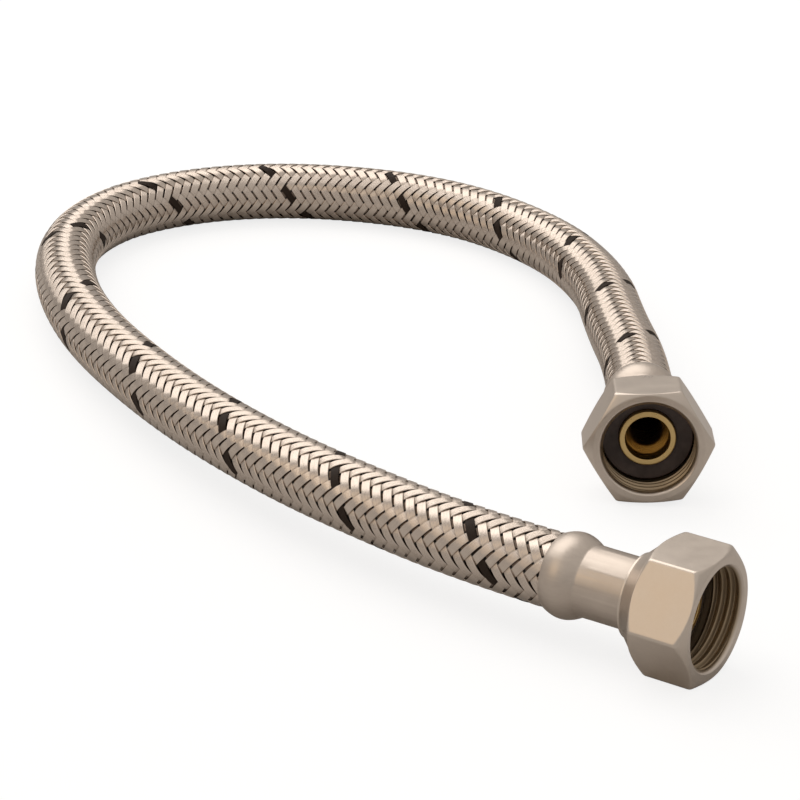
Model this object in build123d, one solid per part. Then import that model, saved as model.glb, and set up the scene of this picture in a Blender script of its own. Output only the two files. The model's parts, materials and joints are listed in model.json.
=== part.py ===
from build123d import *

import os
from math import cos, pi, radians, sin, sqrt, tan

# A braided supply line: a rubber hose in a steel wire braid, with a crimped end fitting and a
# loose G 1/2 swivel nut at each end, lying on a table. Millimetres, +Z up, table at z = 0.
# On a fitting, "back" is the distance from the nut's mouth plane towards the hose.

# Hose
BRAID_OD = 14.7
BRAID_WALL = 0.6
LINER_OD = BRAID_OD - 2 * BRAID_WALL
LINER_ID = 9.5
HOSE_R = BRAID_OD / 2

# Swivel nut, G 1/2
NUT_AF = 24.0
HEX_BACK = 12.3
NUT_BACK = 16.4
NECK_R = 8.3
CORNER_R = NUT_AF / sqrt(3)
CHAMFER_ANGLE = 30.0
FRONT_FACE_R = 11.7
BACK_FACE_R = 11.8
THREAD_R = 18.63 / 2
MOUTH_R = 21.2 / 2
MOUTH_DEPTH = 0.9
THREAD_BACK = 6.1
RELIEF_R = 20.2 / 2
RELIEF_FRONT = 6.6
SEAT_BACK = 12.0
GUIDE_R = 7.1

# Hose tail (insert)
SPIGOT_R = 6.0
SPIGOT_FRONT = 6.3
SPIGOT_BORE_R = 4.75
COLLAR_R = 8.8
COLLAR_FRONT = 9.7
COLLAR_BACK = 11.7
TAIL_GROOVE_R = 4.4
TAIL_BORE_R = 3.4
BARB_R = LINER_ID / 2
BARB_COUNT = 5
BARB_PITCH = 3.0
BARB_FRONT = 12.6

# Flat seal washer, pushed onto the spigot
WASHER_R = 9.15
WASHER_HOLE_R = SPIGOT_R + 0.05
WASHER_FRONT = 7.7

# Crimped ferrule
FERRULE_WALL = 0.5
CRIMP_R = 7.0
BULGE_R = 8.5
LIP_R = 5.0
FERRULE_FRONT = 11.8
HOSE_FRONT = FERRULE_FRONT + FERRULE_WALL
CRIMP_BACK = 25.4
BULGE_FRONT = 27.6
BULGE_BACK = 32.4
FERRULE_BACK = 34.2

# How each fitting lies: the turn of its mouth direction about +Z from +X, the lift of that
# direction, and the turn of the hexagon about the axis from lying flat.
NEAR = {"x": 71.8, "y": -130.3, "yaw": -33.0, "lift": 0.0, "roll": 2.5}
FAR = {"x": 64.7, "y": -51.8, "yaw": -90.9, "lift": 2.0, "roll": 4.0}

# Route of the hose's centreline between the two ferrules. The first and last runs leave the
# ferrules straight along their axes; the other points are placed by hand.
NEAR_RUN = 14.0
FAR_RUN = 20.0
ROUTE = [
    (12.8, -89.0, 12.3),
    (-13.2, -62.0, 11.8),
    (-38.7, -24.0, 10.2),
    (-63.2, 26.5, 8.4),
    (-73.2, 75.5, HOSE_R),
    (-64.7, 109.0, HOSE_R),
    (-41.2, 129.5, HOSE_R),
    (-10.2, 136.0, HOSE_R),
    (24.8, 126.0, HOSE_R),
    (49.8, 98.5, 7.5),
    (61.3, 63.5, 8.4),
    (62.8, 29.5, 10.0),
]
ARC_SHARE = 0.45


def chamfer_depth(face_radius):
    """Axial length of the corner chamfer that ends on a face circle of this radius."""
    return (CORNER_R - face_radius) * tan(radians(CHAMFER_ANGLE))


def mouth_height(lie):
    """Height of the mouth centre at which the nut's lowest corner touches the table."""
    corner_drop = CORNER_R * cos(radians(30 - lie["roll"])) * cos(radians(lie["lift"]))
    lowest_back = HEX_BACK - chamfer_depth(BACK_FACE_R)
    return corner_drop + lowest_back * sin(radians(lie["lift"]))


def fitting_plane(lie):
    """Plane at the mouth centre: z out of the mouth, x level, y up."""
    yaw, lift = radians(lie["yaw"]), radians(lie["lift"])
    outward = (cos(yaw) * cos(lift), sin(yaw) * cos(lift), sin(lift))
    level = (-sin(yaw), cos(yaw), 0)
    return Plane(origin=(lie["x"], lie["y"], mouth_height(lie)), x_dir=level, z_dir=outward)


def along(plane, back):
    """Point on a fitting's axis at this distance back from its mouth."""
    return plane.origin - plane.z_dir * back


def turned(points):
    """Solid of revolution about z from (radius, back) points."""
    corners = [(radius, -back) for radius, back in points]
    return revolve(make_face(Plane.XZ * Polyline(*corners, close=True)), Axis.Z)


def turned_soft(points):
    """Solid of revolution about z from (radius, back, corner rounding) points."""
    corners = [(radius, -back) for radius, back, _ in points]
    roundings = [rounding for _, _, rounding in points]
    outline = FilletPolyline(*corners, radius=roundings, close=True)
    return revolve(make_face(Plane.XZ * outline), Axis.Z)


def nut(roll):
    """Hexagonal swivel nut with chamfered corners, a tapered neck and a stepped bore."""
    hexagon = extrude(RegularPolygon(CORNER_R, 6), amount=-HEX_BACK).rotate(Axis.Z, roll)
    front, back = chamfer_depth(FRONT_FACE_R), chamfer_depth(BACK_FACE_R)
    envelope = turned([
        (0, 0),
        (FRONT_FACE_R, 0),
        (CORNER_R, front),
        (CORNER_R, HEX_BACK - back),
        (BACK_FACE_R, HEX_BACK),
        (0, HEX_BACK),
    ])
    neck = turned_soft([
        (GUIDE_R, HEX_BACK - 2, 0),
        (BACK_FACE_R - 0.4, HEX_BACK - 2, 0),
        (BACK_FACE_R - 0.4, HEX_BACK + 0.3, 0.6),
        (NECK_R, NUT_BACK - 0.5, 0.5),
        (NECK_R, NUT_BACK, 0.3),
        (GUIDE_R, NUT_BACK, 0),
    ])
    bore = turned([
        (0, 0),
        (MOUTH_R, 0),
        (THREAD_R, MOUTH_DEPTH),
        (THREAD_R, THREAD_BACK),
        (RELIEF_R, RELIEF_FRONT),
        (RELIEF_R, SEAT_BACK),
        (GUIDE_R, SEAT_BACK),
        (GUIDE_R, NUT_BACK),
        (0, NUT_BACK),
    ])
    return (hexagon & envelope) + neck - bore


def insert():
    """Brass hose tail: spigot, collar that the nut pulls on, and a barbed tail with a bore."""
    outline = [
        (SPIGOT_BORE_R, SPIGOT_FRONT),
        (SPIGOT_R - 0.25, SPIGOT_FRONT),
        (SPIGOT_R, SPIGOT_FRONT + 0.25),
        (SPIGOT_R, COLLAR_FRONT),
        (COLLAR_R, COLLAR_FRONT),
        (COLLAR_R, COLLAR_BACK),
        (TAIL_GROOVE_R, COLLAR_BACK),
    ]
    for count in range(BARB_COUNT):
        front = BARB_FRONT + count * BARB_PITCH
        outline += [(TAIL_GROOVE_R, front), (BARB_R, front), (BARB_R, front + 0.6)]
        outline.append((TAIL_GROOVE_R, front + BARB_PITCH - 0.3))
    tail_end = BARB_FRONT + BARB_COUNT * BARB_PITCH
    outline += [
        (TAIL_GROOVE_R - 0.3, tail_end),
        (TAIL_BORE_R, tail_end),
        (TAIL_BORE_R, COLLAR_BACK),
        (SPIGOT_BORE_R, COLLAR_FRONT),
    ]
    return turned(outline)


def washer():
    """Flat rubber ring on the spigot, against the collar."""
    return turned([
        (WASHER_HOLE_R, WASHER_FRONT),
        (WASHER_R, WASHER_FRONT),
        (WASHER_R, COLLAR_FRONT),
        (WASHER_HOLE_R, COLLAR_FRONT),
    ])


def ferrule():
    """Crimped sleeve: an inturned front lip, a crimped cylinder and a rounded bulge."""
    inner = FERRULE_WALL
    return turned_soft([
        (LIP_R, FERRULE_FRONT, 0),
        (CRIMP_R, FERRULE_FRONT, 0.45),
        (CRIMP_R, CRIMP_BACK, 1.6),
        (BULGE_R, BULGE_FRONT, 1.5),
        (BULGE_R, BULGE_BACK, 1.2),
        (HOSE_R + 0.4, FERRULE_BACK, 0.1),
        (HOSE_R + 0.02, FERRULE_BACK, 0.1),
        (BULGE_R - inner, BULGE_BACK - 0.25, 0.8),
        (BULGE_R - inner, BULGE_FRONT + 0.2, 1.0),
        (CRIMP_R - inner, CRIMP_BACK + 0.25, 1.8),
        (CRIMP_R - inner, HOSE_FRONT, 0),
        (LIP_R, HOSE_FRONT, 0),
    ])


def squeezed_end(outer_r, inner_r, crimped_r, crimped_inner_r):
    """One hose layer inside a ferrule: squeezed under the crimp, its own size at the back."""
    return turned([
        (crimped_inner_r, HOSE_FRONT),
        (crimped_r, HOSE_FRONT),
        (crimped_r, CRIMP_BACK),
        (outer_r, BULGE_FRONT + 1.2),
        (outer_r, FERRULE_BACK),
        (inner_r, FERRULE_BACK),
        (inner_r, BULGE_FRONT + 1.2),
        (crimped_inner_r, CRIMP_BACK),
    ])


def hose_path(near, far):
    """Centreline between the ferrules: straight runs joined by tangent arcs."""
    points = [along(near, FERRULE_BACK), along(near, FERRULE_BACK + NEAR_RUN)]
    points += [Vector(*point) for point in ROUTE]
    points += [along(far, FERRULE_BACK + FAR_RUN), along(far, FERRULE_BACK)]
    radii = []
    for before, corner, after in zip(points, points[1:], points[2:]):
        run_in, run_out = corner - before, after - corner
        half_turn = radians(run_in.get_angle(run_out)) / 2
        radii.append(ARC_SHARE * min(run_in.length, run_out.length) / tan(half_turn))
    print("hose runs", [round((b - a).length, 1) for a, b in zip(points, points[1:])])
    print("hose arc radii", [round(radius, 1) for radius in radii])
    return FilletPolyline(*points, radius=radii)


def hose_layer(name, path, near, far, outer_r, inner_r, crimped_r, crimped_inner_r):
    """One layer of the hose from ferrule to ferrule, with its squeezed ends."""
    start = Plane(origin=path @ 0, z_dir=path % 0)
    ring = start * (Circle(outer_r) - Circle(inner_r))
    free = sweep(ring, path=path)
    by_section = pi * (outer_r**2 - inner_r**2) * path.length
    print(name, "free volume", round(free.volume), "section times length", round(by_section))
    end = squeezed_end(outer_r, inner_r, crimped_r, crimped_inner_r)
    return free + near.location * end + far.location * end


def save(name, shape):
    """Writes one node as a single solid."""
    solids = shape.solids()
    if len(solids) != 1:
        raise ValueError(f"{name} is {len(solids)} solids")
    shape = solids[0]
    shape.label = name
    export_step(shape, f"parts/{name}.step")
    return shape


def main():
    os.makedirs("parts", exist_ok=True)
    near, far = fitting_plane(NEAR), fitting_plane(FAR)
    path = hose_path(near, far)
    crimped_braid_r = CRIMP_R - FERRULE_WALL
    crimped_liner_r = crimped_braid_r - BRAID_WALL
    made = [
        save("wire_braid", hose_layer(
            "wire_braid", path, near, far, HOSE_R, LINER_OD / 2, crimped_braid_r, crimped_liner_r)),
        save("inner_hose", hose_layer(
            "inner_hose", path, near, far, LINER_OD / 2, LINER_ID / 2, crimped_liner_r, BARB_R)),
    ]
    for side, plane, lie in (("near", near, NEAR), ("far", far, FAR)):
        place = plane.location
        made.append(save(f"swivel_nut_{side}", place * nut(lie["roll"])))
        made.append(save(f"hose_tail_{side}", place * insert()))
        made.append(save(f"seal_washer_{side}", place * washer()))
        made.append(save(f"ferrule_{side}", place * ferrule()))
        print(side, "mouth", plane.origin, "outward", plane.z_dir)
    box = Compound(made).bounding_box()
    print("free hose length", round(path.length, 1))
    print("box", box.min, box.max)


main()
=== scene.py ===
# A braided supply line on a pale floor: rubber hose, 24 woven bands of steel wire, two crimped
# ferrules, two turned brass tails with rubber washers, and two plated swivel nuts.
# Metres, +Z up, floor at z = 0. On a fitting, "back" is the distance from the nut's mouth
# towards the hose.
import json
from math import atan, cos, pi, radians, tan

import bpy
import numpy as np
from mathutils import Matrix, Vector


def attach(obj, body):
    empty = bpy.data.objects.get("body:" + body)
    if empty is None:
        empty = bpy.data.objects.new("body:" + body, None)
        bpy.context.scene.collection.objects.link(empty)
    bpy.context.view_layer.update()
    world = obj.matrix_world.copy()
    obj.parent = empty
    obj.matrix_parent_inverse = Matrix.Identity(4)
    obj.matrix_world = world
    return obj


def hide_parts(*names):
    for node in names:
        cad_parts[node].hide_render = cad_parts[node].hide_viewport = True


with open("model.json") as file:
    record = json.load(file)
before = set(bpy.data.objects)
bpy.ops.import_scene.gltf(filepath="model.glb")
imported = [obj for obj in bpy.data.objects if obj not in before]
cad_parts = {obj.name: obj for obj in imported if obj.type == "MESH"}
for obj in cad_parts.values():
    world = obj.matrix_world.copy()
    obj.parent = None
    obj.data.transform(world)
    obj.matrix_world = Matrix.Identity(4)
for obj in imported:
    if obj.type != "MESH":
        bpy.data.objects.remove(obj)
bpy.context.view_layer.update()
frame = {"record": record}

MM = 0.001

# Camera
CAMERA_PLACE = (0.0128, -0.5995, 0.2388)
CAMERA_DOWN = radians(21.61)
CAMERA_ROLL = radians(1.99)
CAMERA_LENS_MM = 128.9
CAMERA_SENSOR_MM = 36

# Soft boxes: place, width, power in watts and colour
TOP_BOX = ((-0.44, 0.60, 1.15), 1.5, 8.8, (1.0, 0.97, 0.94))
LEFT_BOX = ((-1.13, -0.67, 0.73), 0.9, 1.25, (1.0, 0.74, 0.44))

# Room: its colour, its brightness near the floor and overhead, and how steeply upwards a
# direction points where it is brightest
ROOM_COLOUR = (1.0, 0.95, 0.90, 1.0)
ROOM_LOW = 0.41
ROOM_HIGH = 0.60
ROOM_HIGH_Z = 0.7

# Floor: the paper's tones, and its colour and glow where it is seen directly
FLOOR_HALF = 3.0
PAPER_TONES = ((0.56, 0.55, 0.54, 1), (0.60, 0.59, 0.58, 1))
PAPER_SEEN = (0.26, 0.26, 0.26, 1)
PAPER_GLOW = 0.80

# Materials: the darker and lighter tone, the least and most roughness, and marks
WIRE_TONES = ((0.60, 0.515, 0.445, 1), (0.80, 0.70, 0.615, 1))
WIRE_STAIN = (0.52, 0.44, 0.37, 1)
# Painted shade with some dirt: the colour a band darkens to where it dives under the other hand's
# bands
WIRE_SHADE_AND_DIRT = (0.10, 0.065, 0.045, 1)
WIRE_ROUGHNESS = (0.13, 0.24)
TRACER_TONES = ((0.012, 0.007, 0.004, 1), (0.042, 0.025, 0.016, 1))
TRACER_ROUGHNESS = (0.45, 0.65)
TRACER_SHINE = 0.2
HOSE_TONES = ((0.012, 0.010, 0.009, 1), (0.030, 0.025, 0.022, 1))
HOSE_ROUGHNESS = (0.55, 0.75)
NICKEL_TONES = ((0.58, 0.50, 0.43, 1), (0.77, 0.685, 0.60, 1))
NICKEL_ROUGHNESS = (0.27, 0.37)
# Unplated brass in the bore, its tones darkened as painted shade
SHADED_BORE_TONES = ((0.20, 0.14, 0.08, 1), (0.60, 0.47, 0.30, 1))
BORE_BARE_AND_SHADED = 0.9
BORE_DULLING = 0.16
STEEL_TONES = ((0.56, 0.485, 0.42, 1), (0.70, 0.62, 0.545, 1))
STEEL_MARK = (0.44, 0.365, 0.31, 1)
STEEL_ROUGHNESS = (0.32, 0.46)
BRASS_TONES = ((0.62, 0.42, 0.16, 1), (0.82, 0.62, 0.30, 1))
BRASS_ROUGHNESS = (0.24, 0.36)
SEAL_TONES = ((0.055, 0.040, 0.035, 1), (0.115, 0.086, 0.077, 1))
SEAL_ROUGHNESS = (0.50, 0.70)

# Hose: its length between the ferrules, how far its layers run on into each, and its route,
# which leaves the ferrules straight and then follows listed points
HOSE_R = 7.35 * MM
CORE_R = 6.72 * MM
CORE_BORE_R = 4.75 * MM
TUCK = 4 * MM
STEP = 0.5 * MM
CORE_SIDES = 48
NEAR_RUN = 14 * MM
FAR_RUN = 20 * MM
ROUTE = [
    (0.0128, -0.0890, 0.0123),
    (-0.0132, -0.0620, 0.0118),
    (-0.0387, -0.0240, 0.0102),
    (-0.0632, 0.0265, 0.0084),
    (-0.0732, 0.0755, HOSE_R),
    (-0.0647, 0.1090, HOSE_R),
    (-0.0412, 0.1295, HOSE_R),
    (-0.0102, 0.1360, HOSE_R),
    (0.0248, 0.1260, HOSE_R),
    (0.0498, 0.0985, 0.0075),
    (0.0613, 0.0635, 0.0084),
    (0.0628, 0.0295, 0.0100),
]

# Weave: bands of one hand, wires in a band, and the lay, in which a band goes once round. The
# lay is longer where the braid is drawn out: the middle of each such stretch, its spread (where
# the extra is down to 37 %) and the extra share at the middle. A band's angle is WEAVE_TURN and
# its lane, and WEAVE_START is the turns it has made at the near ferrule.
BANDS = 12
WIRES = 7
LAY = 34.0 * MM
DRAWN_OUT = [(0.180, 0.079, 0.44), (0.442, 0.063, 0.17)]
BAND_SHARE = 0.81
WEAVE_R = 7.01 * MM
WEAVE_RISE = 0.22 * MM
WIRE_D = 0.24 * MM
FLOAT_FLATNESS = 0.8
WEAVE_TURN = radians(42.5)
WEAVE_START = -0.458
TRACER_LANE = 0
BANDS_PER_PIECE = 4

# Swivel nut
NUT_AF = 24.0 * MM
NUT_ROLL = {"near": radians(2.5), "far": radians(4.0)}
CORNER_ROUND = 0.8 * MM
HALF_SECTOR = radians(30)
HEX_BACK = 12.3 * MM
NUT_BACK = 16.4 * MM
NECK_R = 8.3 * MM
FRONT_FACE_R = 11.7 * MM
BACK_FACE_R = 11.8 * MM
CHAMFER_ROUND = 0.7 * MM
CHAMFER_SLOPE = tan(radians(30))
MOUTH_R = 10.4 * MM
MOUTH_DEPTH = 0.7 * MM
THREAD_CREST_R = 9.65 * MM
THREAD_MAJOR_R = 10.4 * MM
THREAD_PITCH = 1.814 * MM
THREAD_BACK = 6.1 * MM
THREAD_FADE = 0.5 * MM
THREAD_FULLNESS = 0.62
THREAD_ROWS = 64
RELIEF_R = 10.1 * MM
RELIEF_FRONT = 6.6 * MM
SEAT_BACK = 12.0 * MM
GUIDE_R = 7.1 * MM
THREAD_MOUNT_BACK = 3.5 * MM

# Ferrule. Between each two crimping jaws is a ridge: its height, its spread as a share of a
# jaw's width, how far the rest sinks as a share of its height, and the length it fades over.
FERRULE_FRONT = 11.8 * MM
FERRULE_WALL = 0.5 * MM
CRIMP_BACK = 25.4 * MM
CRIMP_R = 7.0 * MM
BULGE_FRONT = 26.6 * MM
BULGE_RISE = 1.15 * MM
BULGE_LIP_R = 7.5 * MM
FERRULE_BACK = 34.2 * MM
FERRULE_LIP = 0.5 * MM
LIP_R = 5.0 * MM
CRIMP_JAWS = 8
RIDGE_HEIGHT = 0.06 * MM
RIDGE_SPREAD = 0.09
RIDGE_SINK = 0.35
RIDGE_FADE = 1.5 * MM
FERRULE_SIDES = 192

# Hose tail and washer
SPIGOT_FRONT = 6.3 * MM
SPIGOT_R = 6.0 * MM
SPIGOT_BORE_R = 4.75 * MM
COLLAR_FRONT = 9.7 * MM
COLLAR_BACK = 11.7 * MM
COLLAR_R = 8.8 * MM
TAIL_BORE_R = 3.4 * MM
TAIL_GROOVE_R = 4.4 * MM
BARB_R = 4.75 * MM
BARB_COUNT = 5
BARB_PITCH = 3.0 * MM
BARB_FRONT = 12.6 * MM
BARB_CREST = 0.6 * MM
BARB_GAP = 0.3 * MM
TURNED_SIDES = 144
WASHER_R = 9.55 * MM
WASHER_HOLE_R = 6.05 * MM
WASHER_FRONT = 7.7 * MM


# ---- Camera, floor and lights

def place_camera():
    """Camera looking along +Y and down, rolled a little about its line of sight."""
    data = bpy.data.cameras.new("camera")
    data.lens = CAMERA_LENS_MM
    data.sensor_width = CAMERA_SENSOR_MM
    camera = bpy.data.objects.new("camera", data)
    bpy.context.scene.collection.objects.link(camera)
    turn = Matrix.Rotation(pi / 2 - CAMERA_DOWN, 4, "X") @ Matrix.Rotation(CAMERA_ROLL, 4, "Z")
    camera.matrix_world = Matrix.Translation(CAMERA_PLACE) @ turn
    bpy.context.scene.camera = camera


def add_light(name, place, size, power, colour):
    """Square soft light at a place, facing the middle of the hose loop."""
    data = bpy.data.lights.new(name, "AREA")
    data.size = size
    data.energy = power
    data.color = colour
    light = bpy.data.objects.new(name, data)
    bpy.context.scene.collection.objects.link(light)
    facing = (-Vector(place)).to_track_quat("-Z", "Y").to_matrix().to_4x4()
    light.matrix_world = Matrix.Translation(place) @ facing
    light.visible_camera = False


def light_studio():
    """Wide soft box above and behind, a warm one at the left front, and a room that is darker
    near the floor."""
    add_light("soft_box_top", *TOP_BOX)
    add_light("soft_box_left", *LEFT_BOX)
    world = bpy.data.worlds.new("room")
    world.use_nodes = True
    tree = world.node_tree
    direction = node(tree, "SeparateXYZ", {"Vector": object_coords(tree)})
    background = tree.nodes["Background"]
    background.inputs["Color"].default_value = ROOM_COLOUR
    strength = between(tree, direction.outputs["Z"], ROOM_LOW, ROOM_HIGH, 0.0, ROOM_HIGH_Z)
    link(tree, strength, background.inputs["Strength"])
    bpy.context.scene.world = world


# ---- Node graphs

def node(tree, kind, inputs=None, **settings):
    """Adds a shader node; each input is given a value or the socket that feeds it."""
    made = tree.nodes.new("ShaderNode" + kind)
    for name, value in settings.items():
        setattr(made, name, value)
    for name, value in (inputs or {}).items():
        if isinstance(value, bpy.types.NodeSocket):
            tree.links.new(value, made.inputs[name])
        else:
            made.inputs[name].default_value = value
    return made


def new_material(name):
    """Empty material, its tree and its surface shader."""
    material = bpy.data.materials.new(name)
    material.use_nodes = True
    tree = material.node_tree
    return material, tree, tree.nodes["Principled BSDF"]


def noise(tree, coords, scale, detail=3.0, roughness=0.55):
    """Cloudy value between 0 and 1."""
    return node(tree, "TexNoise", {
        "Vector": coords, "Scale": scale, "Detail": detail, "Roughness": roughness,
    }).outputs["Fac"]


def between(tree, value, low, high, start=0.3, end=0.7):
    """A number that goes from low to high as value goes from start to end."""
    return node(tree, "MapRange", {
        "Value": value, "From Min": start, "From Max": end, "To Min": low, "To Max": high,
    }).outputs["Result"]


def blend_colours(tree, factor, first, second):
    """Colour between first and second."""
    mixed = node(tree, "Mix", data_type="RGBA")
    given = ((mixed.inputs[0], factor), (mixed.inputs[6], first), (mixed.inputs[7], second))
    for socket, value in given:
        if isinstance(value, bpy.types.NodeSocket):
            tree.links.new(value, socket)
        else:
            socket.default_value = value
    return mixed.outputs[2]


def bumped(tree, shader, height, distance, strength=1.0):
    """Gives the shader a relief of this height."""
    relief = node(tree, "Bump", {"Height": height, "Distance": distance, "Strength": strength})
    tree.links.new(relief.outputs["Normal"], shader.inputs["Normal"])


def link(tree, socket, target):
    """Feeds one socket from another."""
    tree.links.new(socket, target)


def object_coords(tree):
    """Place on the object in its own axes, in metres. In the room it is the direction."""
    return node(tree, "TexCoord").outputs["Object"]


def fitting_coords(tree, fitting, sizes):
    """Object coordinates turned onto a fitting's axis and divided by the three sizes."""
    basis = Matrix((fitting["level"], fitting["up"], fitting["outward"])).transposed()
    return node(tree, "Mapping", {
        "Vector": object_coords(tree),
        "Location": fitting["mouth"],
        "Rotation": basis.to_euler(),
        "Scale": sizes,
    }, vector_type="TEXTURE").outputs["Vector"]


# ---- Materials

def pale_floor():
    """Matt white paper, lit up to white where it is seen directly."""
    material, tree, shader = new_material("pale_floor")
    tree.nodes.remove(shader)
    grain = noise(tree, object_coords(tree), 40.0)
    seen = node(tree, "LightPath").outputs["Is Camera Ray"]
    paper = blend_colours(tree, grain, *PAPER_TONES)
    shade = node(tree, "BsdfDiffuse", {"Color": blend_colours(tree, seen, paper, PAPER_SEEN)})
    glow = node(tree, "Emission", {"Strength": between(tree, seen, 0.0, PAPER_GLOW, 0, 1)})
    lit = node(tree, "AddShader")
    link(tree, shade.outputs[0], lit.inputs[0])
    link(tree, glow.outputs[0], lit.inputs[1])
    link(tree, lit.outputs[0], tree.nodes["Material Output"].inputs["Surface"])
    return material


def bright_wire():
    """Bright drawn steel wire: streaks along each wire, and painted shade with some dirt darkening a
    band where it dives under.
    """
    material, tree, shader = new_material("bright_wire")
    lanes = node(tree, "UVMap").outputs["UV"]
    streaks = node(tree, "Mapping", {"Vector": lanes, "Scale": (7.0, 90.0, 1.0)})
    streak = noise(tree, streaks.outputs["Vector"], 1.0, 4.0)
    patch = noise(tree, object_coords(tree), 220.0)
    clean = blend_colours(tree, streak, *WIRE_TONES)
    toned = blend_colours(tree, between(tree, patch, 0.0, 0.35), clean, WIRE_STAIN)
    buried = node(tree, "Attribute", attribute_name="buried").outputs["Fac"]
    # Painted shade with some dirt, darkest where the band lies deepest under the other hand's bands
    shade_and_dirt = between(tree, buried, 0.0, 0.85, 0.35, 1.0)
    link(tree, blend_colours(tree, shade_and_dirt, toned, WIRE_SHADE_AND_DIRT), shader.inputs["Base Color"])
    link(tree, between(tree, streak, *WIRE_ROUGHNESS), shader.inputs["Roughness"])
    shader.inputs["Metallic"].default_value = 1.0
    bumped(tree, shader, streak, 0.01 * MM, 0.5)
    return material


def tracer_yarn():
    """Black-brown coated yarn, slightly glossy, with threads along the band."""
    material, tree, shader = new_material("tracer_yarn")
    lanes = node(tree, "UVMap").outputs["UV"]
    threads = node(tree, "Mapping", {"Vector": lanes, "Scale": (21.0, 60.0, 1.0)})
    thread = noise(tree, threads.outputs["Vector"], 1.0, 3.0)
    tone = blend_colours(tree, thread, *TRACER_TONES)
    link(tree, tone, shader.inputs["Base Color"])
    link(tree, between(tree, thread, *TRACER_ROUGHNESS), shader.inputs["Roughness"])
    shader.inputs["Specular IOR Level"].default_value = TRACER_SHINE
    bumped(tree, shader, thread, 0.02 * MM)
    return material


def hose_rubber():
    """Matt black rubber with fine extrusion grain."""
    material, tree, shader = new_material("hose_rubber")
    grain = noise(tree, object_coords(tree), 900.0)
    tone = blend_colours(tree, grain, *HOSE_TONES)
    link(tree, tone, shader.inputs["Base Color"])
    link(tree, between(tree, grain, *HOSE_ROUGHNESS), shader.inputs["Roughness"])
    bumped(tree, shader, grain, 0.02 * MM)
    return material


def satin_nickel(name, fitting):
    """Satin nickel plating over brass: fine grain, turning lines, and unplated brass in the bore, its
    tones darkened as painted shade.
    """
    material, tree, shader = new_material(name)
    coords = object_coords(tree)
    cloud = noise(tree, coords, 160.0, 8.0, 0.72)
    grain = noise(tree, coords, 1500.0, 2.0)
    rings = noise(tree, fitting_coords(tree, fitting, (9 * MM, 9 * MM, 0.12 * MM)), 1.0, 3.0)
    plating = blend_colours(tree, cloud, *NICKEL_TONES)
    bore = node(tree, "Attribute", attribute_name="bore").outputs["Fac"]
    # Unplated brass in the bore, darkened as painted shade
    shaded_bare_brass = blend_colours(tree, rings, *SHADED_BORE_TONES)
    wear_and_shade = between(tree, bore, 0.0, BORE_BARE_AND_SHADED, 0.2, 1.0)
    link(tree, blend_colours(tree, wear_and_shade, plating, shaded_bare_brass), shader.inputs["Base Color"])
    satin = between(tree, cloud, *NICKEL_ROUGHNESS)
    dull = between(tree, bore, 0.0, BORE_DULLING, 0, 1)
    roughness = node(tree, "Math", {0: satin, 1: dull}, operation="ADD").outputs[0]
    link(tree, roughness, shader.inputs["Roughness"])
    shader.inputs["Metallic"].default_value = 1.0
    height = node(tree, "Math", {0: grain, 1: rings}, operation="ADD").outputs[0]
    bumped(tree, shader, height, 0.006 * MM, 0.6)
    return material


def crimped_steel(name, fitting):
    """Satin stainless sleeve with lengthwise drawing lines and light handling marks."""
    material, tree, shader = new_material(name)
    lines = noise(tree, fitting_coords(tree, fitting, (0.5 * MM, 0.5 * MM, 14 * MM)), 1.0, 3.0)
    cloud = noise(tree, object_coords(tree), 180.0, 4.0)
    tone = blend_colours(tree, lines, *STEEL_TONES)
    marked = blend_colours(tree, between(tree, cloud, 0.0, 0.3), tone, STEEL_MARK)
    link(tree, marked, shader.inputs["Base Color"])
    link(tree, between(tree, lines, *STEEL_ROUGHNESS), shader.inputs["Roughness"])
    shader.inputs["Metallic"].default_value = 1.0
    bumped(tree, shader, lines, 0.01 * MM, 0.5)
    return material


def turned_brass(name, fitting):
    """Turned brass with fine tool rings."""
    material, tree, shader = new_material(name)
    rings = noise(tree, fitting_coords(tree, fitting, (6 * MM, 6 * MM, 0.15 * MM)), 1.0, 3.0)
    tone = blend_colours(tree, rings, *BRASS_TONES)
    link(tree, tone, shader.inputs["Base Color"])
    link(tree, between(tree, rings, *BRASS_ROUGHNESS), shader.inputs["Roughness"])
    shader.inputs["Metallic"].default_value = 1.0
    bumped(tree, shader, rings, 0.01 * MM, 0.5)
    return material


def seal_rubber():
    """Moulded black rubber, dusty in places."""
    material, tree, shader = new_material("seal_rubber")
    coords = object_coords(tree)
    grain = noise(tree, coords, 1300.0)
    dust = noise(tree, coords, 260.0, 4.0)
    tone = blend_colours(tree, between(tree, dust, 0.0, 1.0), *SEAL_TONES)
    link(tree, tone, shader.inputs["Base Color"])
    link(tree, between(tree, grain, *SEAL_ROUGHNESS), shader.inputs["Roughness"])
    bumped(tree, shader, grain, 0.02 * MM)
    return material


# ---- Surfaces

def even_turns(count):
    """Evenly spaced angles once round."""
    return np.linspace(0, 2 * pi, count, endpoint=False)


def grid_faces(rows, columns, close_rows, close_columns):
    """Corner numbers of the four-sided faces of a grid, closed in either direction or not."""
    row = np.arange(rows if close_rows else rows - 1)[:, None]
    column = np.arange(columns if close_columns else columns - 1)[None, :]
    next_row = (row + 1) % rows
    next_column = (column + 1) % columns
    corners = [row * columns + column, row * columns + next_column,
               next_row * columns + next_column, next_row * columns + column]
    places = [(row, column), (row, column + 1), (row + 1, column + 1), (row + 1, column)]
    faces = np.stack([corner.ravel() for corner in corners], axis=1)
    places = np.stack([
        np.stack(np.broadcast_arrays(a, b), axis=-1).reshape(-1, 2) for a, b in places
    ], axis=1)
    return faces, places


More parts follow.
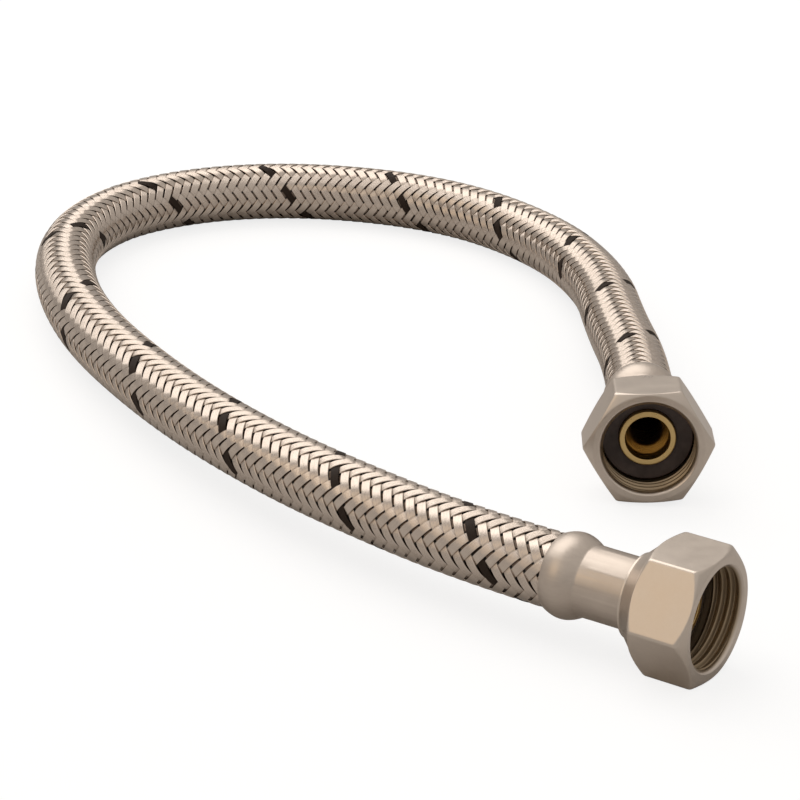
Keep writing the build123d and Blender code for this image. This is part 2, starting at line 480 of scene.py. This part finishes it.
def write_mesh(name, grids):
    """One mesh from several grids. A grid is its points, whether each direction is closed, two
    functions that give the UV of a row and a column number, and its point attributes. A grid
    that is open along its rows gets a flat face over each end."""
    points, loops, sizes, uvs, values = [], [], [], [], {}
    start = 0
    for grid in grids:
        rows, columns = grid["points"].shape[:2]
        faces, places = grid_faces(rows, columns, grid["close_rows"], True)
        points.append(grid["points"].reshape(-1, 3))
        loops.append((faces + start).ravel())
        sizes.append(np.full(len(faces), 4))
        uvs.append(grid["uv"](places[..., 0], places[..., 1]).reshape(-1, 2))
        if not grid["close_rows"]:
            ring = np.arange(columns)
            loops += [ring[::-1] + start, ring + start + (rows - 1) * columns]
            sizes.append(np.array([columns, columns]))
            uvs.append(np.zeros((2 * columns, 2)))
        for key, value in grid["attributes"].items():
            values.setdefault(key, []).append(value.ravel())
        start += rows * columns
    points, loops = np.concatenate(points), np.concatenate(loops)
    sizes, uvs = np.concatenate(sizes), np.concatenate(uvs)
    mesh = bpy.data.meshes.new(name)
    mesh.vertices.add(len(points))
    mesh.vertices.foreach_set("co", points.astype(np.float32).ravel())
    mesh.loops.add(len(loops))
    mesh.loops.foreach_set("vertex_index", loops.astype(np.int32))
    mesh.polygons.add(len(sizes))
    mesh.polygons.foreach_set("loop_start", (np.cumsum(sizes) - sizes).astype(np.int32))
    mesh.polygons.foreach_set("use_smooth", sizes == 4)
    mesh.update(calc_edges=True)
    layer = mesh.uv_layers.new(name="UVMap")
    layer.uv.foreach_set("vector", uvs.astype(np.float32).ravel())
    for key, value in values.items():
        attribute = mesh.attributes.new(key, "FLOAT", "POINT")
        attribute.data.foreach_set("value", np.concatenate(value).astype(np.float32))
    return mesh


def make_piece(name, grids, material, body, slot, *replaced):
    """Object at the origin with its material and body, the CAD nodes it stands for hidden. The slot is
    not used.
    """
    mesh = write_mesh(name, grids)
    mesh.materials.append(material)
    piece = bpy.data.objects.new(name, mesh)
    bpy.context.scene.collection.objects.link(piece)
    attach(piece, body)
    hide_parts(*replaced)
    return piece


# ---- Fittings' frames and the hose's line

def fitting_frame(side, mount_name):
    """Mouth centre and unit directions of one fitting, from its thread mount: outward along
    the axis, level across it, and up square to both."""
    mounts = {mount["name"]: mount for mount in frame["record"]["mounts"]}
    mount = mounts[mount_name]
    outward = Vector(mount["axis"]).normalized()
    level = Vector((0, 0, 1)).cross(outward).normalized()
    return {
        "side": side,
        "mouth": Vector(mount["pos_m"]) + outward * THREAD_MOUNT_BACK,
        "outward": outward,
        "level": level,
        "up": outward.cross(level),
    }


def on_axis(fitting, back):
    """Point on a fitting's axis at this distance back from its mouth."""
    return fitting["mouth"] - fitting["outward"] * back


def hose_route(near, far):
    """Control points of the hose's centreline from ferrule to ferrule."""
    start = [on_axis(near, FERRULE_BACK), on_axis(near, FERRULE_BACK + NEAR_RUN)]
    end = [on_axis(far, FERRULE_BACK + FAR_RUN), on_axis(far, FERRULE_BACK)]
    return start + [Vector(point) for point in ROUTE] + end


def smooth_line(points):
    """Points along the NURBS spline that has these control points."""
    curve = bpy.data.curves.new("hose_route", "CURVE")
    curve.dimensions = "3D"
    curve.resolution_u = 40
    spline = curve.splines.new("NURBS")
    spline.points.add(len(points) - 1)
    for knot, point in zip(spline.points, points):
        knot.co = (*point, 1)
    spline.order_u = 3
    spline.use_endpoint_u = True
    holder = bpy.data.objects.new("hose_route", curve)
    mesh = bpy.data.meshes.new_from_object(holder)
    line = np.empty(len(mesh.vertices) * 3)
    mesh.vertices.foreach_get("co", line)
    bpy.data.objects.remove(holder)
    bpy.data.curves.remove(curve)
    bpy.data.meshes.remove(mesh)
    return line.reshape(-1, 3)


def unit(vectors):
    """The same directions at length 1."""
    return vectors / np.linalg.norm(vectors, axis=-1, keepdims=True)


def stations(line, step):
    """Even stations along the line, run on straight into both ferrules: the distance from the
    line's start, the centre, and two directions square to the line, sideways and up."""
    first, last = unit(line[0] - line[1]), unit(line[-1] - line[-2])
    line = np.vstack([line[0] + first * TUCK, line, line[-1] + last * TUCK])
    reach = np.concatenate([[0], np.cumsum(np.linalg.norm(np.diff(line, axis=0), axis=1))])
    along = np.linspace(0, reach[-1], round(reach[-1] / step) + 1)
    centre = np.stack([np.interp(along, reach, line[:, axis]) for axis in range(3)], axis=1)
    ahead = unit(np.gradient(centre, axis=0))
    sideways = unit(np.cross((0, 0, 1), ahead))
    return along - TUCK, centre, sideways, np.cross(ahead, sideways)


def around_line(place, turn, radius):
    """Points at an angle and a radius round the hose's stations."""
    _, centre, sideways, up = place
    circle = np.cos(turn)[..., None] * sideways[:, None] + np.sin(turn)[..., None] * up[:, None]
    return centre[:, None] + circle * radius[..., None]


# ---- Hose

def core_grid(place):
    """Rubber tube: a circle carried along the line, out over the skin and back in the bore."""
    turn = even_turns(CORE_SIDES)[None, :]
    along = place[0][:, None]
    skin = around_line(place, turn + 0 * along, CORE_R + 0 * (turn + along))
    bore = around_line(place, turn + 0 * along, CORE_BORE_R + 0 * (turn + along))
    points = np.concatenate([skin, bore[::-1]])
    return {
        "points": points,
        "close_rows": True,
        "uv": lambda row, column: np.stack([column / CORE_SIDES, row * STEP * 10], axis=-1),
        "attributes": {},
    }


def band_outline():
    """Cross-section of a band: offset across it, from -0.5 to 0.5, and height above its middle.
    The top is a row of round wires, three points to a wire, and the underside is flat."""
    count = 3 * WIRES + 1
    across = np.linspace(-0.5, 0.5, count)
    height = np.where(np.arange(count) % 3 == 0, 0.08 * WIRE_D, 0.5 * WIRE_D)
    height[[0, -1]] = -0.15 * WIRE_D
    across = np.concatenate([across, [0.47, -0.47]])
    height = np.concatenate([height, [-0.5 * WIRE_D, -0.5 * WIRE_D]])
    return across, height


def float_height(crossing):
    """Rise of a band, from -1 under to 1 over, as it passes the other hand's bands: over two and
    under two, by a cosine with flattened tops."""
    wave = np.cos(pi / 2 * (crossing - 0.5))
    return wave / np.sqrt(wave**2 + FLOAT_FLATNESS**2) * np.sqrt(1 + FLOAT_FLATNESS**2)


def weave_turns(along):
    """Turns that a band has made at each distance: steps over the lay, added up from the near
    ferrule, where the count is WEAVE_START."""
    extra_share = sum(
        extra * np.exp(-(((along - middle) / spread) ** 2)) for middle, spread, extra in DRAWN_OUT)
    lay = LAY * (1 + extra_share)
    steps = np.diff(along) / ((lay[1:] + lay[:-1]) / 2)
    turns = np.concatenate([[0], np.cumsum(steps)])
    return WEAVE_START + turns - np.interp(0, along, turns)


def band_grid(place, lane, hand):
    """One band wound round the hose, right-handed for hand 1 and left-handed for hand -1. Its
    angle grows with the turns made, and each wire rises and dives with the bands it crosses."""
    across, height = band_outline()
    turns = hand * weave_turns(place[0])[:, None]
    lanes = lane + BAND_SHARE * across[None, :]
    turn = WEAVE_TURN + 2 * pi * (lanes / BANDS + turns)
    crossing = lanes + 2 * BANDS * turns
    rise = hand * float_height(crossing + lane)
    radius = WEAVE_R + WEAVE_RISE * rise + height[None, :]
    count = len(across)
    return {
        "points": around_line(place, turn, radius),
        "close_rows": False,
        "uv": lambda row, column: np.stack([column / count, row * STEP], axis=-1),
        "attributes": {"buried": 0.5 - 0.5 * rise},
    }


def weave(place, materials):
    """All the bands as pieces of a few bands each, and the tracer band as its own piece."""
    pieces = []
    for hand, label in ((1, "right"), (-1, "left")):
        lanes = [lane for lane in range(BANDS) if hand < 0 or lane != TRACER_LANE]
        for first in range(0, len(lanes), BANDS_PER_PIECE):
            grids = [band_grid(place, lane, hand) for lane in lanes[first:first + BANDS_PER_PIECE]]
            name = f"braid_{label}_{first // BANDS_PER_PIECE + 1}"
            pieces.append(make_piece(
                name, grids, materials["wire"], "hose_line", "wire_braid", "wire_braid"))
    tracer = [band_grid(place, TRACER_LANE, 1)]
    pieces.append(make_piece(
        "braid_tracer", tracer, materials["tracer"], "hose_line", "wire_braid", "wire_braid"))
    return pieces


# ---- Turned pieces

def round_corners(corners, roundings, steps=5):
    """Each corner of a closed outline becomes a short parabola that touches both its sides, with
    one more point on each side to keep the sides flat."""
    to_last = np.roll(corners, 1, axis=-2) - corners
    to_next = np.roll(corners, -1, axis=-2) - corners
    last_length = np.linalg.norm(to_last, axis=-1)
    next_length = np.linalg.norm(to_next, axis=-1)
    reach = np.minimum(np.array(roundings), 0.3 * np.minimum(last_length, next_length))[..., None]
    to_last, to_next = to_last / last_length[..., None], to_next / next_length[..., None]
    share = np.linspace(0, 1, steps)
    arc = [corners + reach * ((1 - t) ** 2 * to_last + t**2 * to_next) for t in share]
    arc = [corners + 1.5 * reach * to_last, *arc, corners + 1.5 * reach * to_next]
    outline = np.stack(arc, axis=-2)
    return outline.reshape(*corners.shape[:-2], -1, 2)


def turned_grid(fitting, turn, radius, back, attributes=None):
    """Surface round a fitting's axis from radius and distance back, each an array of angles by
    outline points. The outline is closed."""
    level, up, outward = (np.array(fitting[key]) for key in ("level", "up", "outward"))
    circle = np.cos(turn)[:, None, None] * level + np.sin(turn)[:, None, None] * up
    points = np.array(fitting["mouth"]) + circle * radius[..., None] - outward * back[..., None]
    rows, columns = radius.shape
    return {
        "points": points,
        "close_rows": True,
        "uv": lambda row, column: np.stack([row / rows, column / columns], axis=-1),
        "attributes": attributes or {},
    }


def plain_turned_grid(fitting, corners):
    """Turned piece whose closed outline is (radius, back, rounding) corners, the same all round."""
    corners = np.array(corners)
    outline = round_corners(corners[:, :2], corners[:, 2])
    turn = even_turns(TURNED_SIDES)
    radius = np.tile(outline[:, 0], (len(turn), 1))
    back = np.tile(outline[:, 1], (len(turn), 1))
    return turned_grid(fitting, turn, radius, back)


def corner_half_angle():
    """Angle from a corner of the hexagon to the end of its rounding."""
    return HALF_SECTOR - atan((NUT_AF / 2 - CORNER_ROUND) * tan(HALF_SECTOR) / (NUT_AF / 2))


def hexagon_turns(roll):
    """Angles round the nut: close together at the six corners and even over the flats."""
    corner_half = corner_half_angle()
    corner = np.linspace(-corner_half, corner_half, 9)
    flat = np.linspace(corner_half * 1.6, 2 * HALF_SECTOR - corner_half * 1.6, 26)
    sector = np.concatenate([corner, flat])
    return roll + (np.arange(6)[:, None] * 2 * HALF_SECTOR + sector[None, :]).ravel()


def hexagon_radius(turn, roll):
    """Distance from the axis to the hexagon: half the width across flats over the cosine of the
    angle from the flat's middle, and a small circle at each corner."""
    from_corner = np.abs((turn - roll + HALF_SECTOR) % (2 * HALF_SECTOR) - HALF_SECTOR)
    centre = (NUT_AF / 2 - CORNER_ROUND) / cos(HALF_SECTOR)
    flat = NUT_AF / 2 / np.cos(HALF_SECTOR - from_corner)
    inside = np.maximum(CORNER_ROUND**2 - (centre * np.sin(from_corner)) ** 2, 0)
    rounded = centre * np.cos(from_corner) + np.sqrt(inside)
    return np.where(from_corner < corner_half_angle(), rounded, flat)


def thread_rows(turn):
    """Female thread, from the back to the mouth: the radius swings between crest and root as
    the distance back and the angle advance together, and the grooves fade at both ends."""
    back = np.linspace(THREAD_BACK, MOUTH_DEPTH, THREAD_ROWS)[None, :]
    phase = 2 * pi * back / THREAD_PITCH + turn[:, None]
    groove = np.clip(0.5 + THREAD_FULLNESS * np.cos(phase), 0, 1)
    mouth_fade = np.clip((back - MOUTH_DEPTH) / THREAD_FADE, 0, 1)
    fade = mouth_fade * np.clip((THREAD_BACK - back) / THREAD_FADE, 0, 1)
    radius = THREAD_CREST_R + (THREAD_MAJOR_R - THREAD_CREST_R) * groove * fade
    return radius, back + 0 * radius


def nut_grid(fitting):
    """Swivel nut: hexagon with cone chamfers at both ends, tapered neck, stepped bore and thread.
    At each angle the outline's corners lie where the cones meet the hexagon."""
    roll = NUT_ROLL[fitting["side"]]
    turn = hexagon_turns(roll)
    hexagon = hexagon_radius(turn, roll)
    front = (hexagon - FRONT_FACE_R) * CHAMFER_SLOPE
    rear = HEX_BACK - (hexagon - BACK_FACE_R) * CHAMFER_SLOPE
    neck_start = BACK_FACE_R - 0.4 * MM
    outline = [
        (MOUTH_R, 0, 0.12 * MM),
        (FRONT_FACE_R, 0, 0.25 * MM),
        (hexagon, front, CHAMFER_ROUND),
        (hexagon, rear, CHAMFER_ROUND),
        (BACK_FACE_R, HEX_BACK, 0.3 * MM),
        (neck_start, HEX_BACK + 0.3 * MM, 0.3 * MM),
        (NECK_R, NUT_BACK - 0.5 * MM, 0.3 * MM),
        (NECK_R, NUT_BACK, 0.15 * MM),
        (GUIDE_R, NUT_BACK, 0.15 * MM),
        (GUIDE_R, SEAT_BACK, 0.1 * MM),
        (RELIEF_R, SEAT_BACK, 0.1 * MM),
        (RELIEF_R, RELIEF_FRONT, 0.1 * MM),
        (THREAD_CREST_R, THREAD_BACK, 0.05 * MM),
        (THREAD_CREST_R, MOUTH_DEPTH, 0.05 * MM),
    ]
    bore_start = 8
    corners = np.stack([
        np.stack(np.broadcast_arrays(radius, back, turn)[:2], axis=-1) for radius, back, _ in outline
    ], axis=1)
    body = round_corners(corners, [rounding for _, _, rounding in outline])
    per_corner = body.shape[1] // len(outline)
    body = body[:, :per_corner * (len(outline) - 1)]
    thread_radius, thread_back = thread_rows(turn)
    radius = np.concatenate([body[..., 0], thread_radius], axis=1)
    back = np.concatenate([body[..., 1], thread_back], axis=1)
    bore = np.zeros_like(radius)
    bore[:, per_corner * bore_start:] = 1.0
    return turned_grid(fitting, turn, radius, back, {"bore": bore})


def tail_corners():
    """Outline of the hose tail: spigot, collar, groove and barbs, then back through the bore."""
    corners = [
        (SPIGOT_BORE_R, SPIGOT_FRONT, 0.15 * MM),
        (SPIGOT_R, SPIGOT_FRONT, 0.3 * MM),
        (SPIGOT_R, COLLAR_FRONT, 0.1 * MM),
        (COLLAR_R, COLLAR_FRONT, 0.2 * MM),
        (COLLAR_R, COLLAR_BACK, 0.2 * MM),
        (TAIL_GROOVE_R, COLLAR_BACK, 0.1 * MM),
    ]
    for count in range(BARB_COUNT):
        front = BARB_FRONT + count * BARB_PITCH
        corners += [
            (TAIL_GROOVE_R, front, 0.05 * MM),
            (BARB_R, front, 0.08 * MM),
            (BARB_R, front + BARB_CREST, 0.08 * MM),
            (TAIL_GROOVE_R, front + BARB_PITCH - BARB_GAP, 0.05 * MM),
        ]
    tail_end = BARB_FRONT + BARB_COUNT * BARB_PITCH
    return corners + [
        (TAIL_GROOVE_R - 0.3 * MM, tail_end, 0.1 * MM),
        (TAIL_BORE_R, tail_end, 0.1 * MM),
        (TAIL_BORE_R, COLLAR_BACK, 0.3 * MM),
        (SPIGOT_BORE_R, COLLAR_FRONT, 0.3 * MM),
    ]


def washer_corners():
    """Outline of the flat washer."""
    return [
        (WASHER_HOLE_R, WASHER_FRONT, 0.15 * MM),
        (WASHER_R, WASHER_FRONT, 0.3 * MM),
        (WASHER_R, COLLAR_FRONT, 0.3 * MM),
        (WASHER_HOLE_R, COLLAR_FRONT, 0.15 * MM),
    ]


def ferrule_swell(back):
    """How far the sleeve stands out past its crimped part: a round bulge that ends on the hose."""
    share = np.clip((back - BULGE_FRONT) / (FERRULE_BACK - FERRULE_LIP - BULGE_FRONT), 0, 1)
    return (BULGE_LIP_R - CRIMP_R) * share + BULGE_RISE * np.sin(pi * share) ** 0.9


def ferrule_grid(fitting):
    """Crimped sleeve: a tube turned round the axis and swollen at the hose end, with a faint
    lengthwise ridge between each two jaws of the crimping tool."""
    inner_r = CRIMP_R - FERRULE_WALL
    end = FERRULE_BACK - FERRULE_LIP
    corners = np.array([
        (LIP_R, FERRULE_FRONT, 0.05 * MM),
        (CRIMP_R, FERRULE_FRONT, 0.5 * MM),
        (CRIMP_R, end, 0.15 * MM),
        (inner_r, end, 0.15 * MM),
        (inner_r, FERRULE_FRONT + FERRULE_WALL, 0.1 * MM),
        (LIP_R, FERRULE_FRONT + FERRULE_WALL, 0.05 * MM),
    ])
    outline = split_long_sides(round_corners(corners[:, :2], corners[:, 2], 9), 0.3 * MM)
    turn = even_turns(FERRULE_SIDES)
    radius = np.tile(outline[:, 0] + ferrule_swell(outline[:, 1]), (len(turn), 1))
    back = np.tile(outline[:, 1], (len(turn), 1))
    from_ridge = np.abs((turn * CRIMP_JAWS / (2 * pi) + 0.5) % 1 - 0.5)
    ridge = np.exp(-((from_ridge / RIDGE_SPREAD) ** 2))[:, None] - RIDGE_SINK
    middle = (FERRULE_FRONT + CRIMP_BACK) / 2
    half = (CRIMP_BACK - FERRULE_FRONT) / 2
    crimped = np.clip((half - np.abs(back - middle)) / RIDGE_FADE, 0, 1)
    outside = radius > CRIMP_R - 0.1 * MM
    radius = radius + RIDGE_HEIGHT * ridge * crimped * outside
    return turned_grid(fitting, turn, radius, back)


def split_long_sides(outline, longest):
    """Adds even points to the sides of a closed outline that are longer than this."""
    split = []
    for start, end in zip(outline, np.roll(outline, -1, axis=0)):
        count = max(1, int(np.ceil(np.linalg.norm(end - start) / longest)))
        split.append(start + np.arange(count)[:, None] / count * (end - start))
    return np.concatenate(split)


def make_fitting(fitting, materials):
    """The four pieces of one end fitting. The nut sits on its own body."""
    side = fitting["side"]
    brass = turned_brass(f"turned_brass_{side}", fitting)
    steel = crimped_steel(f"crimped_steel_{side}", fitting)
    nickel = satin_nickel(f"satin_nickel_{side}", fitting)
    return [
        make_piece(f"tail_{side}", [plain_turned_grid(fitting, tail_corners())], brass,
                   "hose_line", "tail_brass", f"hose_tail_{side}"),
        make_piece(f"washer_{side}", [plain_turned_grid(fitting, washer_corners())], materials["seal"],
                   "hose_line", "seal_rubber", f"seal_washer_{side}"),
        make_piece(f"sleeve_{side}", [ferrule_grid(fitting)], steel,
                   "hose_line", "ferrule_steel", f"ferrule_{side}"),
        make_piece(f"nut_{side}", [nut_grid(fitting)], nickel,
                   f"nut_{side}", "nut_plating", f"swivel_nut_{side}"),
    ]


def lay_floor():
    """Wide flat floor under the hose."""
    mesh = bpy.data.meshes.new("floor")
    corners = [(x * FLOOR_HALF, y * FLOOR_HALF, 0) for x, y in ((-1, -1), (1, -1), (1, 1), (-1, 1))]
    mesh.from_pydata(corners, [], [(0, 1, 2, 3)])
    mesh.materials.append(pale_floor())
    floor = bpy.data.objects.new("floor", mesh)
    bpy.context.scene.collection.objects.link(floor)


def main():
    """The camera, the supply line from its two threads inwards, the floor and the light."""
    place_camera()
    near = fitting_frame("near", "inlet_thread_near")
    far = fitting_frame("far", "outlet_thread_far")
    line = smooth_line(hose_route(near, far))
    place = stations(line, STEP)
    materials = {
        "wire": bright_wire(),
        "tracer": tracer_yarn(),
        "hose": hose_rubber(),
        "seal": seal_rubber(),
    }
    core = make_piece(
        "hose_core", [core_grid(place)], materials["hose"], "hose_line", "hose_rubber", "inner_hose")
    bands = weave(place, materials)
    make_fitting(near, materials)
    far_pieces = make_fitting(far, materials)
    lay_floor()
    light_studio()
    bpy.context.scene.view_settings.view_transform = "Standard"


main()
